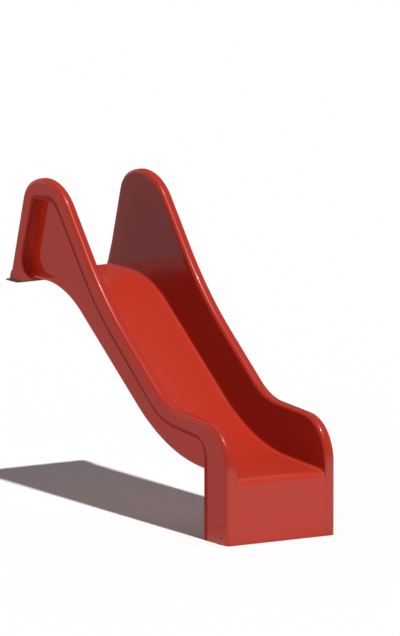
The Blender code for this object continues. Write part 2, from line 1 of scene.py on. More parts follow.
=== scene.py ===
"""Looks of the fibreglass slide: a fine moulding over the frame, its gelcoat and its fixings."""
import json
import math

import bpy
import numpy as np
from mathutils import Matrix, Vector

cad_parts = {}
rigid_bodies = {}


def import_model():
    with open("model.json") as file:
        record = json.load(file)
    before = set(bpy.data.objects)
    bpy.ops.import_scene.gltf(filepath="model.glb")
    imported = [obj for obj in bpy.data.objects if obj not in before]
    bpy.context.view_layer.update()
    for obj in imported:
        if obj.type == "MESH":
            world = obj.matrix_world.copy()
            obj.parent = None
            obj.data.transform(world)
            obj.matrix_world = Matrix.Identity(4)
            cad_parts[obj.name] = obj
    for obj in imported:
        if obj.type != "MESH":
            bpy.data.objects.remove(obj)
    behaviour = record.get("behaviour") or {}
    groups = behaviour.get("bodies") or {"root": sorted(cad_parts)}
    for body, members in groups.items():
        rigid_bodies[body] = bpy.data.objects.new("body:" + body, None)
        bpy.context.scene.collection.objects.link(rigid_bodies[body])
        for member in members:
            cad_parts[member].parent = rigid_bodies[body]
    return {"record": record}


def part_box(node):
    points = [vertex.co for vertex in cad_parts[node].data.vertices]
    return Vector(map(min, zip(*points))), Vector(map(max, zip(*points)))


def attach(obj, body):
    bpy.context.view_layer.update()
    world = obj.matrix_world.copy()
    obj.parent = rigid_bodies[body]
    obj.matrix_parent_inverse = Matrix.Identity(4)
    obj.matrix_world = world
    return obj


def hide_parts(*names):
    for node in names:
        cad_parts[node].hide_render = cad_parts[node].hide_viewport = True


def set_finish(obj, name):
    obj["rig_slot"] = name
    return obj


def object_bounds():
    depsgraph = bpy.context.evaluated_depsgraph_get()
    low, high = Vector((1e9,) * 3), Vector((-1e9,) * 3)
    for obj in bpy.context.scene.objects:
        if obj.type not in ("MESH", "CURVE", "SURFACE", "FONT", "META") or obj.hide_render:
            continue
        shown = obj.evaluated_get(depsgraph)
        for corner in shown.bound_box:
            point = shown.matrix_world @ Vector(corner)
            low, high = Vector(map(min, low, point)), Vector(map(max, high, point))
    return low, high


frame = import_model()
cad_low, cad_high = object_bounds()
shell_low, shell_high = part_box("slide_shell")

# The slide's own sizes in metres, as in the solids unless a comment says otherwise. b is the
# distance behind the foot's front face, z the height above the ground and y the distance inward
# from the near side's outer face. Corners are (b, z), from the start to the ground.
FRONT_X = cad_high.x
WIDTH = shell_high.y - shell_low.y
START_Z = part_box("start_board")[0].z
BOARD_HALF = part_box("start_board")[1].y
PLATE_FRONT_B = FRONT_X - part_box("start_plate")[1].x
LAMINATE = 0.005
GAP = 0.0003                # between pieces that lie against each other
BED_Z = 0.909               # of the level start
RIM_CORNERS = [(1.668, BED_Z + 0.4055), (1.434, BED_Z + 0.497), (1.019, 0.895),
               (0.5045, 0.521), (0.0, 0.492)]
RIM_RADII = [0.128, 0.247, 1.782, 0.3375, 0.189]
HOOD_FOOT = (1.798, BED_Z - 0.029)          # foot of the hood's back edge
BED_CORNERS = [(1.789, BED_Z), (1.4157, BED_Z), (0.7625, 0.440), (0.506, 0.304), (0.0, 0.278)]
BED_RADII = [0.009, 0.521, 0.866, 0.969, 0.038]
RECESS_FLOOR_Z = BED_Z + 0.009
TONGUE = (1.552, RECESS_FLOOR_Z - 0.004)    # front end of the strip under the recess
EDGE_CORNERS = [(1.556, RECESS_FLOOR_Z), (1.716, RECESS_FLOOR_Z), (1.599, BED_Z + 0.353),
                (1.428, BED_Z + 0.357), (1.078, 0.850), (0.554, 0.448), (0.195, 0.420)]
# The third and fourth, the recess's upper corners, are 0.028 and 0.055 in the solid.
EDGE_RADII = [0.003, 0.072, 0.030, 0.100, 1.060, 0.383, 0.063]
LEG_DEPTH = 0.195
RIM_WIDTH = 0.051           # from the band's outer face to the wall
WALL_DRAFT = 0.0015         # lean of the wall, each way from there
RIM_OUTER_RADIUS = 0.020
RIM_INNER_RADIUS = 0.017
HOOD_FOOT_RADIUS = 0.007    # the rim's outer rounding at the hood's foot
HOOD_FOOT_HEIGHT = 0.032    # along the rim, up to which it stays that small
HOOD_FOOT_FADE = 0.014      # over which it grows to RIM_OUTER_RADIUS
BED_FILLET = 0.009          # the sharp inner corner that is seen; 0.021 in the solid
LIP_WIDTH = 0.014           # strip along the band's free edge
LIP_TURN = 0.004            # how far that strip turns inward
BAND_MIDDLE = 0.65          # share of the band's width where its faces divide
EDGE_ROUND = 0.0017         # how deep the laminate's trimmed edge is rounded
STRIPS = [0.008, 0.028, 0.022, 0.017, 0.034]    # width from hood to leg of the matte strip with painted shade along the band's edge
# Out from the slide's middle: the wall, and where the bed's inner corner starts to turn up
WALL_Y = WIDTH / 2 - RIM_WIDTH
FILLET_START = WALL_Y - WALL_DRAFT - BED_FILLET

# How finely the surfaces are divided
ARC_STEP = math.radians(1.0)
ARC_STEPS = 8               # the least in one arc
EDGE_POINTS = 1200          # on the band's edge, where distances from it are measured
EDGE_STEPS = 6              # across the laminate's trimmed edge
STATION_DENSITY = 4         # steps along the slide for each one in stations
BED_ROWS = 8                # rows of the grid over each stretch of the half section
ROUND_ROWS = 13
WALL_ROWS = 4
OUTER_ROWS = 15
BAND_ROWS = 3
LIP_ROWS = 5
BAND_TO_LIP = 2 * BAND_ROWS + LIP_ROWS
AROUND = 48                 # points round a turned piece
PLATE_AROUND = 96
PLATE_RINGS = (0.2, 0.5, 0.8)   # shares of the way from a face's middle to its corners
THREAD_ROWS = 8             # in one pitch
ROUND_SHARE = 0.45          # of a wall's height, the most that one rounding takes
LEAST_SLOPE = 0.2           # so that the wall's top never sinks too far along the rim
SHARP = math.radians(35)    # faces that meet at more are shaded with a crease

# Fixings
FOOT_SPOTS = [f"{side}_{level}" for side in ("near", "far") for level in ("low", "high")]
START_BOLTS = (1, 2, 3)
SHANK = 0.008
BOLT_PLAY = 0.0005          # round a shank or a head in its hole
HOLE = SHANK / 2 + BOLT_PLAY
COUNTERSUNK_HEAD = 0.0155
COUNTERSUNK_HOLE = COUNTERSUNK_HEAD / 2 + BOLT_PLAY
COUNTERSUNK_DROP = 0.0003
HOLE_MOUTH = [(0.0016, LAMINATE), (0.0003, 0.0002)]     # wider by, at a height above the bed
HEAD = 0.014
HEAD_RIM = 0.001            # straight rim below the domed head
THREAD_PITCH = 0.00125
THREAD_DEPTH = 0.0006
FOOT_BOLT_NECK = 0.004      # without thread, from the moulding's outer face
START_BOLT_NECK = 0.008     # without thread, from the head's top
SOCKET = 0.0050             # across the flats
SOCKET_DEPTH = 0.0024
SOCKET_LAND = 1.25 * SOCKET     # width of the flat round a domed head's socket
SOCKET_ROWS = [(0.3, 1), (0.97, 1), (1, 0.94), (1, 1 / 12), (1.08, 0)]  # shares of width and depth
SOCKET_LIMIT = 1.1          # radii below this share of the socket's are part of it
SOFT = 0.0003               # chamfer on heads and nuts
TIP = 0.0008                # chamfer on a shank's tip
TIP_RING = 0.0005           # radius of the innermost ring on that tip
NUT = 0.013                 # across the flats
NUT_BORE_WIDER = 0.0006     # chamfer of a nut's bore, across and down
NUT_BORE_DEEPER = 0.0005
NUT_FACE = 0.0002           # how far a nut's end face stays inside its flats
NUT_CONE = 1.7              # how much the cone on a nut's corners widens with depth
WASHER_ROUND = 0.0004
PLATE_CORNER = 0.006
PLATE_ROUND = 0.0012
SCREW_HOLE = 0.007
SCREW_HOLES = 4
SCREW_EDGE = 0.0095         # hole centres in from the plate's back edge
SCREW_END = 0.060           # and in from the moulding's outer faces
CUT_PAST = 0.01             # how far a cutter reaches past a plate


def world(points):
    """(b, y, z) rows as points of the scene."""
    return np.stack([FRONT_X - points[..., 0], points[..., 1] - WIDTH / 2, points[..., 2]], -1)


class Path:
    """Straight runs joined by arcs in the side view, read by length along it.

    An arc turns evenly from its first radius to its last, as its slopes do: for f from 0 to 1,
    (sin((1 - f) turn) times the first + sin(f turn) times the last) / sin(turn).
    """

    def __init__(self, start, corners, radii, end):
        nodes = np.array([start, *corners, end], float)
        points = [nodes[:1]]
        slopes = []
        self.marks = []
        count = 1
        for here, last, following, radius in zip(nodes[1:-1], nodes[:-2], nodes[2:], radii):
            back = (last - here) / np.linalg.norm(last - here)
            ahead = (following - here) / np.linalg.norm(following - here)
            half = math.acos(np.clip(back @ ahead, -1, 1)) / 2
            middle = (back + ahead) / np.linalg.norm(back + ahead)
            centre = here + middle * radius / math.sin(half)
            reach = radius / math.tan(half)
            turn = math.pi - 2 * half
            steps = max(ARC_STEPS, round(turn / ARC_STEP))
            f = np.linspace(0, 1, steps + 1)[:, None]
            first = here + back * reach - centre
            final = here + ahead * reach - centre
            points.append(centre + (np.sin((1 - f) * turn) * first + np.sin(f * turn) * final)
                          / math.sin(turn))
            slopes.append((np.sin((1 - f) * turn) * -back + np.sin(f * turn) * ahead)
                          / math.sin(turn))
            self.marks.append((count, count + steps))
            count += steps + 1
        points.append(nodes[-1:])
        self.points = np.concatenate(points)
        self.slopes = np.concatenate([slopes[0][:1], *slopes, slopes[-1][-1:]])
        steps = np.linalg.norm(np.diff(self.points, axis=0), axis=1)
        self.lengths = np.concatenate([[0.0], np.cumsum(steps)])

    def before(self, corner):
        """The length at which a corner's arc starts; corners count from 1."""
        return self.lengths[self.marks[corner - 1][0]]

    def after(self, corner):
        """The length at which a corner's arc ends."""
        return self.lengths[self.marks[corner - 1][1]]

    def inside(self, corner, share=0.5):
        """A share of the way through a corner's arc."""
        return self.before(corner) + share * (self.after(corner) - self.before(corner))

    def beyond(self, corner, share):
        """A share of the straight run that follows a corner; corner 0 is the start."""
        start = self.after(corner) if corner else 0.0
        stop = self.before(corner + 1) if corner < len(self.marks) else self.lengths[-1]
        return start + share * (stop - start)

    def rising_to(self, z):
        """The place at height z on the first run."""
        low, high = self.points[0, 1], self.points[self.marks[0][0], 1]
        return self.before(1) * (z - low) / (high - low)

    def falling_to(self, z):
        """The place at height z on the last, upright run."""
        return self.lengths[-1] - z

    def at(self, lengths):
        """Points and unit slopes at some lengths."""
        read = [np.interp(lengths, self.lengths, data[:, k])
                for data in (self.points, self.slopes) for k in (0, 1)]
        slopes = np.stack(read[2:], -1)
        return np.stack(read[:2], -1), slopes / np.linalg.norm(slopes, axis=-1, keepdims=True)


def outward(slopes):
    """Slopes turned a quarter, away from the slide's underside."""
    return np.stack([slopes[:, 1], -slopes[:, 0]], -1)


def side_paths():
    """The rim's top line, the bed's line and the band's lower edge, from the back to the ground."""
    share = (START_Z - HOOD_FOOT[1]) / (RIM_CORNERS[0][1] - HOOD_FOOT[1])
    foot = HOOD_FOOT[0] + share * (RIM_CORNERS[0][0] - HOOD_FOOT[0])
    rim = Path((foot, START_Z), RIM_CORNERS, RIM_RADII, (0, 0))
    bed = Path((BED_CORNERS[0][0], START_Z), BED_CORNERS, BED_RADII, (0, 0))
    edge = Path(TONGUE, EDGE_CORNERS, EDGE_RADII, (LEG_DEPTH, 0))
    return rim, bed, edge


def stations(rim, bed, edge):
    """Places that belong together on rim, bed and band edge, evenly spaced between named ones.

    Each row names one such place on all three, after the number of steps that lead to it, which
    STATION_DENSITY multiplies.
    """
    nose = bed.points[bed.marks[4][1], 1]
    turn = bed.points[bed.marks[0][0], 1]
    rows = [
        (0, 0, 0, 0),
        (2, rim.rising_to(turn), bed.before(1), edge.inside(1)),
        (3, rim.rising_to(BED_Z + 2 * GAP), bed.after(1), edge.after(1)),
        (1, HOOD_FOOT_HEIGHT, bed.beyond(1, 0.015), edge.beyond(1, 0.20)),
        (2, HOOD_FOOT_HEIGHT + HOOD_FOOT_FADE, bed.beyond(1, 0.035), edge.beyond(1, 0.70)),
        (1, rim.beyond(0, 0.17), bed.beyond(1, 0.06), edge.before(2)),
        (7, rim.beyond(0, 0.45), bed.beyond(1, 0.20), edge.after(2)),
        (2, rim.before(1), bed.beyond(1, 0.42), edge.before(3)),
        (5, rim.after(1), bed.beyond(1, 0.66), edge.after(3)),
        (5, rim.inside(2), bed.beyond(1, 0.95), edge.before(4)),
        (5, rim.after(2), bed.inside(2, 0.60), edge.after(4)),
        (3, rim.before(3), bed.beyond(2, 0.15), edge.before(5)),
        (5, rim.after(3), bed.beyond(2, 0.80), edge.after(5)),
        (3, rim.before(4), bed.beyond(3, 0.95), edge.before(6)),
        (5, rim.after(4), bed.inside(4, 0.70), edge.after(6)),
        (2, rim.before(5), bed.beyond(4, 0.30), edge.beyond(6, 0.60)),
        (7, rim.inside(5, 0.88), bed.before(5), edge.inside(7, 0.70)),
        (2, rim.after(5), bed.inside(5, 0.40), edge.after(7)),
        (4, rim.falling_to(nose), bed.after(5), edge.falling_to(nose)),
        (3, rim.lengths[-1], bed.lengths[-1], edge.lengths[-1]),
    ]
    marks = np.cumsum([row[0] * STATION_DENSITY for row in rows])
    table = np.array([row[1:] for row in rows])
    return np.stack([np.interp(np.arange(marks[-1] + 1), marks, table[:, k])
                     for k in range(3)], -1)


def half_section(depth, rim, bed, edge, places):
    """One side of the moulding as rows of points from the bed's middle to the band's lip.

    Every row is a line parallel to the paths: bed, fillet (quarter ellipse up the bed's normal),
    wall, inner rounding and outer rounding (quarter ellipses down the rim's normal), band and
    lip. The roundings shrink with the wall's height, so bed and rim run into one face.
    """
    rim_at, rim_slope = rim.at(places[:, 0])
    bed_at, bed_slope = bed.at(places[:, 1])
    edge_at, _ = edge.at(places[:, 2])
    rim_out = outward(rim_slope)
    bed_out = outward(bed_slope)
    share = np.clip(1 - places[:, 0] / rim.before(1), 0, 1)[:, None]
    lean = rim_out[:, 1:] / np.maximum(rim_slope[:, 1:], LEAST_SLOPE)
    sink = -rim_out + share * rim_slope * lean
    rise = rim_at - bed_at
    height = np.minimum((rise * bed_out).sum(1), (rise * rim_out).sum(1)).clip(0)[:, None]
    fillet = np.minimum(BED_FILLET + depth, ROUND_SHARE * height)
    rounding = np.minimum(RIM_INNER_RADIUS - depth, ROUND_SHARE * height)
    bed_at = bed_at - bed_out * depth
    rim_at = rim_at + sink * depth
    wall_low = RIM_WIDTH + WALL_DRAFT - depth
    wall_high = RIM_WIDTH - WALL_DRAFT - depth
    foot = [HOOD_FOOT_HEIGHT, HOOD_FOOT_HEIGHT + HOOD_FOOT_FADE]
    outer = np.interp(places[:, 0], foot, [HOOD_FOOT_RADIUS, RIM_OUTER_RADIUS]) - depth
    rows = []
    for f in np.linspace(0, 1, BED_ROWS + 1)[:-1]:
        y = WIDTH / 2 + f * (wall_low + BED_FILLET + depth - WIDTH / 2)
        rows.append((y, bed_at))
    for a in np.linspace(0, math.pi / 2, ROUND_ROWS):
        rows.append((wall_low + (BED_FILLET + depth) * (1 - math.sin(a)),
                     bed_at + bed_out * fillet * (1 - math.cos(a))))
    low = rows[-1]
    high = (wall_high, rim_at + sink * rounding)
    for f in np.linspace(0, 1, WALL_ROWS + 2)[1:-1]:
        rows.append((low[0] + f * (high[0] - low[0]), low[1] + f * (high[1] - low[1])))
    for a in np.linspace(0, math.pi / 2, ROUND_ROWS):
        rows.append((wall_high - (RIM_INNER_RADIUS - depth) * (1 - math.cos(a)),
                     rim_at + sink * rounding * (1 - math.sin(a))))
    for a in np.linspace(0, math.pi / 2, OUTER_ROWS):
        rows.append((depth + outer * (1 - math.sin(a)),
                     rim_at + sink * (outer * (1 - math.cos(a)))[:, None]))
    last = rows[-1][1]
    toward = last - edge_at
    reach = np.linalg.norm(toward, axis=1, keepdims=True)
    toward = toward / reach
    lip = edge_at + toward * LIP_WIDTH
    middle = edge_at + toward * (LIP_WIDTH + (reach - LIP_WIDTH) * BAND_MIDDLE)
    middle[0] = (PLATE_FRONT_B, START_Z)
    for first, final in ((last, middle), (middle, lip)):
        for f in np.linspace(0, 1, BAND_ROWS + 1)[1:]:
            rows.append((depth, first + f * (final - first)))
    for f in np.linspace(0, 1, LIP_ROWS + 1)[1:]:
        rows.append((depth + LIP_TURN * f ** 1.5, lip + f * (edge_at - lip)))
    return np.stack([np.column_stack([at[:, 0], np.broadcast_to(y, len(at)), at[:, 1]])
                     for y, at in rows])


def full_section(depth, *paths):
    """The near side from its lip to the bed's middle, and the same mirrored to the far lip."""
    near = half_section(depth, *paths)[::-1]
    far = near[::-1][1:].copy()
    far[..., 1] = WIDTH - far[..., 1]
    return np.concatenate([near, far])


def between_rings(index):
    """Four-cornered faces between closed rings of vertices, one ring in each row."""
    ahead = np.roll(index, -1, axis=1)
    return np.stack([index[:-1], ahead[:-1], ahead[1:], index[1:]], -1).reshape(-1, 4)


def capped(index):
    """Faces between closed rings, and triangles from both end rings to two last points."""
    ahead = np.roll(index, -1, axis=1)
    first = [ahead[0], index[0], np.full(index.shape[1], index.size)]
    last = [index[-1], ahead[-1], np.full(index.shape[1], index.size + 1)]
    return [between_rings(index), np.stack(first, -1), np.stack(last, -1)]


def volume(points, fans):
    """Signed volume of a closed mesh: a sixth of the sum of its triangles' triple products.

    fans are arrays of faces, and each face is cut into triangles from its first corner.
    """
    tris = [fan[:, [0, k, k + 1]] for fan in fans for k in range(1, fan.shape[1] - 1)]
    a, b, c = np.moveaxis(points[np.concatenate(tris)], 1, 0)
    return float((a * np.cross(b, c)).sum() / 6)


def turned_out(points, fans):
    """The faces of a closed mesh, all reversed where they point inward."""
    if volume(points, fans) < 0:
        return [fan[:, ::-1] for fan in fans]
    return fans


def add_piece(name, points, fans, slot, replaces):
    """A closed mesh as a piece of the slide, from arrays of faces with three or four corners."""
    faces = [face for fan in turned_out(points, fans) for face in fan.tolist()]
    mesh = bpy.data.meshes.new(name)
    mesh.from_pydata(points, [], faces)
    mesh.update()
    mesh.shade_smooth()
    mesh.set_sharp_from_angle(angle=SHARP)
    piece = bpy.data.objects.new(name, mesh)
    bpy.context.scene.collection.objects.link(piece)
    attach(piece, "root")
    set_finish(piece, slot)
    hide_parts(*replaces)
    return piece


def cut(piece, cutters):
    """Take closed bodies out of a piece and keep the result as its mesh."""
    faces = []
    start = 0
    for points, fans in cutters:
        for fan in turned_out(points, fans):
            faces += (fan + start).tolist()
        start += len(points)
    mesh = bpy.data.meshes.new("cutter")
    mesh.from_pydata(np.concatenate([points for points, _ in cutters]), [], faces)
    cutter = bpy.data.objects.new("cutter", mesh)
    bpy.context.scene.collection.objects.link(cutter)
    boolean = piece.modifiers.new("holes", "BOOLEAN")
    boolean.operation = "DIFFERENCE"
    boolean.object = cutter
    done = bpy.data.meshes.new_from_object(
        piece.evaluated_get(bpy.context.evaluated_depsgraph_get()))
    piece.modifiers.clear()
    piece.data = done
    done.shade_smooth()
    done.set_sharp_from_angle(angle=SHARP)
    bpy.data.objects.remove(cutter, do_unlink=True)


def map_vertices(mesh, name, values):
    """A UV map that holds two values of every vertex."""
    corners = np.empty(len(mesh.loops), dtype=np.int32)
    mesh.loops.foreach_get("vertex_index", corners)
    layer = mesh.uv_layers.new(name=name)
    layer.uv.foreach_set("vector", values[corners].astype(np.float32).ravel())


def drawn_back(runs):
    """Steps of EDGE_ROUND along some runs, or of 0.6 of a run that is short."""
    reach = np.linalg.norm(runs, axis=-1, keepdims=True)
    return runs / reach * np.minimum(EDGE_ROUND, 0.6 * reach)


def rounded_skins(skins, loop):
    """Both skins with their borders drawn back, then the rings that close the edge between them.

    Each border vertex is drawn back along the skin, and half an ellipse from one skin to the
    other reaches the border again: out = sin(t), across = (1 - cos(t)) / 2 for t from 0 to pi.
    """
    inner = skins.copy()
    for border, beside in ((0, 1), (-1, -2)):
        inner[:, border] += drawn_back(skins[:, beside] - skins[:, border])
        inner[:, :, border] += drawn_back(skins[:, :, beside] - skins[:, :, border])
    flat = skins.reshape(2, -1, 3)
    drawn = inner.reshape(2, -1, 3)
    out = (flat[:, loop] - drawn[:, loop]).mean(0)
    arcs = []
    for t in np.linspace(0, math.pi, EDGE_STEPS + 1)[1:-1]:
        f = (1 - math.cos(t)) / 2
        arcs.append(drawn[0, loop] * (1 - f) + drawn[1, loop] * f + out * math.sin(t))
    return np.concatenate([drawn[0], drawn[1], *arcs])


def skin_faces(index, loop):
    """Faces of both skins, then of the rings round the edge between them."""
    grid = np.stack([index[:-1, :-1], index[1:, :-1], index[1:, 1:], index[:-1, 1:]], -1)
    grid = grid.reshape(-1, 4)
    rings = 2 * index.size + np.arange((EDGE_STEPS - 1) * len(loop)).reshape(-1, len(loop))
    rings = np.concatenate([[loop], rings, [loop + index.size]])
    return np.concatenate([grid, index.size + grid[:, ::-1], between_rings(rings)])


def strips_away(skin, rim, edge, places):
    """Distance of the visible skin from the band's free edge, over the width there of the matte
    strip with painted shade.

    The distance is the least to EDGE_POINTS points of the edge in the side view. It is worked
    out on band and lip alone; all other rows count as a metre away.
    """
    seen = np.stack([FRONT_X - skin[..., 0], skin[..., 2]], -1)
    line = edge.at(np.linspace(0, edge.lengths[-1], EDGE_POINTS))[0]
    away = np.ones(skin.shape[:2])
    for band in (slice(0, BAND_TO_LIP + 1), slice(-BAND_TO_LIP - 1, None)):
        away[band] = np.linalg.norm(seen[band, :, None] - line, axis=-1).min(-1)
    turns = [rim.before(1), rim.inside(2), rim.before(3), rim.inside(5, 0.6), rim.after(5)]
    return away / np.interp(places[:, 0], turns, STRIPS)


def moulding():
    """The laminate's two skins, closed round their borders, with two maps that its paint reads.

    "surface" holds metres along the bed and across the section. "zone" holds a skin number and
    the distance that strips_away gives. The number is 0 on the visible skin, down to -1 on top of
    the rim, and 1 on the hidden skin, up to 2 under rim and band.
    """
    rim, bed, edge = side_paths()
    places = stations(rim, bed, edge)
    skins = np.stack([world(full_section(depth, rim, bed, edge, places))
                      for depth in (0.0, LAMINATE)])
    rows, columns = skins.shape[1:3]
    index = np.arange(rows * columns).reshape(rows, columns)
    loop = np.concatenate([index[0, :-1], index[:-1, -1], index[-1, :0:-1], index[:0:-1, 0]])
    piece = add_piece("moulding", rounded_skins(skins, loop), [skin_faces(index, loop)],
                      "gelcoat", ["slide_shell"])

    steps = np.linalg.norm(np.diff(skins[0], axis=0), axis=-1)
    across = np.concatenate([np.zeros((1, columns)), np.cumsum(steps, axis=0)])
    surface = np.column_stack([np.tile(places[:, 1], rows), (across - across[rows // 2]).ravel()])
    step = np.abs(np.arange(rows) - rows // 2)
    on_rim = np.clip((step - BED_ROWS - ROUND_ROWS - WALL_ROWS) / ROUND_ROWS, 0, 1)
    on_top = np.minimum(on_rim, np.clip((rows // 2 - BAND_TO_LIP - step) / OUTER_ROWS, 0, 1))
    away = strips_away(skins[0], rim, edge, places).ravel()
    zones = [np.column_stack([np.repeat(number, columns), away])
             for number in (-on_top, 1 + on_rim)]
    across_edge = np.linspace(0, 1, EDGE_STEPS + 1)[1:-1]
    zones += [np.column_stack([np.full(len(loop), f), np.zeros(len(loop))]) for f in across_edge]
    map_vertices(piece.data, "surface",
                 np.concatenate([surface, surface, *[surface[loop]] * len(across_edge)]))
    map_vertices(piece.data, "zone", np.concatenate(zones))
    return piece


def turned(profile, centre, axis, closed=False, shape=None):
    """A surface turned about an axis through centre, as points and faces.

    The profile lists (radius, height) rows. A closed profile makes a ring; any other has its
    two ends joined to points on the axis. shape changes the radii: it takes the radii, heights
    and angles as a grid and gives new radii.
    """
    profile = np.array(profile, float)
    angles = np.linspace(0, 2 * math.pi, AROUND, endpoint=False)
    radii, heights, angles = np.broadcast_arrays(profile[:, :1], profile[:, 1:], angles[None])
    if shape:
        radii = shape(radii, heights, angles)
    centre = np.array(centre)
    axis = np.array(axis, float)
    side = np.array((1.0, 0.0, 0.0))
    other = np.cross(axis, side)
    points = (centre + heights[..., None] * axis
              + (radii * np.cos(angles))[..., None] * side
              + (radii * np.sin(angles))[..., None] * other).reshape(-1, 3)
    index = np.arange(len(points)).reshape(-1, AROUND)
    if closed:
        return points, [between_rings(np.concatenate([index, index[:1]]))]
    poles = [centre + heights[k, 0] * axis for k in (0, -1)]
    return np.concatenate([points, poles]), capped(index)


def hexagon(angles, flats):
    """The radius of a hexagon at some angles: half its width over the cosine from each flat."""
    return flats / 2 / np.cos((angles + math.pi / 6) % (math.pi / 3) - math.pi / 6)


def arc(low, high, steps):
    """Sine and cosine of evenly spaced angles."""
    return [(math.sin(a), math.cos(a)) for a in np.linspace(low, high, steps)]


def axis_of(name):
    """Centre of a fixing on the moulding's surface, its direction inward, and its extent there."""
    low, high = (np.array(corner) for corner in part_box(name))
    centre = (low + high) / 2
    if name.startswith("start"):
        centre[2] = 0
        return centre, (0, 0, 1), low[2], high[2]
    side = -1 if centre[1] < 0 else 1
    centre[1] = side * WIDTH / 2
    extent = sorted((WIDTH / 2 - side * low[1], WIDTH / 2 - side * high[1]))
    return centre, (0, -side, 0), *extent


def thread(radii, heights, angles, start, end):
    """Radii of a threaded shank: waves that climb one pitch in each turn, fading at both ends."""
    wave = 0.5 + 0.5 * np.cos(2 * math.pi * (heights / THREAD_PITCH) - angles)
    fade = np.clip(np.minimum(heights - start, end - heights) / THREAD_PITCH, 0, 1)
    on_shank = np.abs(radii - SHANK / 2) < 1e-6
    return radii - np.where(on_shank, THREAD_DEPTH * wave * fade, 0)


def in_socket(radii, angles):
    """Radii inside the socket, the profile's first rows, times those of a hexagon two wide."""
    inside = radii < SOCKET / 2 * SOCKET_LIMIT
    before_shank = np.cumsum(~inside, axis=0) == 0
    return np.where(inside & before_shank, radii * hexagon(angles, 2.0), radii)


def socket_rows(top, sign):
    """Profile rows of a head's socket, from its floor to its mouth at height top."""
    return [(SOCKET / 2 * across, top + sign * SOCKET_DEPTH * down)
            for across, down in SOCKET_ROWS]


def shank_rows(start, end):
    """Profile rows of a shank from below its head to its chamfered tip, either way."""
    way = 1 if end > start else -1
    step = way * THREAD_PITCH / THREAD_ROWS
    rows = [(SHANK / 2, height) for height in np.arange(start + step, end - way * TIP, step)]
    return rows + [(SHANK / 2 - TIP, end), (TIP_RING, end)]


def add_bolt(name, rows, centre, axis, start, end):
    """A bolt from its profile, with its socket, and its thread from one height to another."""
    points, fans = turned(rows, centre, axis, shape=lambda radii, heights, angles: in_socket(
        thread(radii, heights, angles, start, end), angles))
    add_piece(name + "_fine", points, fans, "stainless_steel", [name])


def foot_bolt(name):
    """A domed socket-head bolt: part of an ellipse over the head, then the threaded shank."""
    centre, axis, start, end = axis_of(name)
    rim = -GAP - HEAD_RIM
    rise = rim - start
    crown = math.asin(SOCKET_LAND / HEAD)
    rows = socket_rows(rim - rise * math.cos(crown), 1)
    rows += [(HEAD / 2 * s, rim - rise * c) for s, c in arc(crown, math.pi / 2, 12)]
    rows += [(HEAD / 2, -GAP - SOFT), (HEAD / 2 - SOFT, -GAP), (SHANK / 2, -GAP)]
    rows += shank_rows(-GAP, end)
    add_bolt(name, rows, centre, axis, FOOT_BOLT_NECK, end)


def start_bolt(name):
    """A countersunk socket-head bolt: a cone of 45 degrees under the head, then the shank."""
    centre, axis, end, top = axis_of(name)
    head = COUNTERSUNK_HEAD / 2
    neck = top - (head - SHANK / 2) - SOFT
    rows = socket_rows(top, -1)
    rows += [(head - SOFT, top), (head, top - SOFT), (SHANK / 2, neck)]
    rows += shank_rows(neck, end)
    add_bolt(name, rows, centre, axis, end, top - START_BOLT_NECK)


def nut(name):
    """A hexagon nut: its radius is the lesser of the hexagon's and of a cone at each end."""
    centre, axis, low, high = axis_of(name)
    bore = SHANK / 2 + GAP
    corner = NUT / 2 / math.cos(math.pi / 6)
    levels = [low, low + SOFT, *np.linspace(low + 2 * SOFT, high - 2 * SOFT, 8), high - SOFT, high]
    rows = [(bore + NUT_BORE_WIDER, low)]
    rows += [(corner, level) for level in levels]
    rows += [(bore + NUT_BORE_WIDER, high), (bore, high - NUT_BORE_DEEPER),
             (bore, low + NUT_BORE_DEEPER)]

    def shape(radii, heights, angles):
        depth = np.minimum(heights - low, high - heights)
        limit = np.minimum(hexagon(angles, NUT), NUT / 2 - NUT_FACE + depth * NUT_CONE)
        return np.where(radii > NUT / 2, limit, radii)

    points, fans = turned(rows, centre, axis, closed=True, shape=shape)
    add_piece(name + "_fine", points, fans, "stainless_steel", [name])


def washer(name):
    """A flat washer: quarter circles round its outer rims, chamfers at its bore."""
    centre, axis, low, high = axis_of(name)
    outer = max(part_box(name)[1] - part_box(name)[0]) / 2
    inner = SHANK / 2 + GAP
    soft = WASHER_ROUND
    rows = [(outer - soft * (1 - s), high - soft * (1 - c)) for s, c in arc(0, math.pi / 2, 4)]
    rows += [(radius, low + high - height) for radius, height in rows[::-1]]
    rows += [(inner + soft, low), (inner, low + soft), (inner, high - soft), (inner + soft, high)]
    points, fans = turned(rows, centre, axis, closed=True)
    add_piece(name + "_fine", points, fans, "stainless_steel", [name])


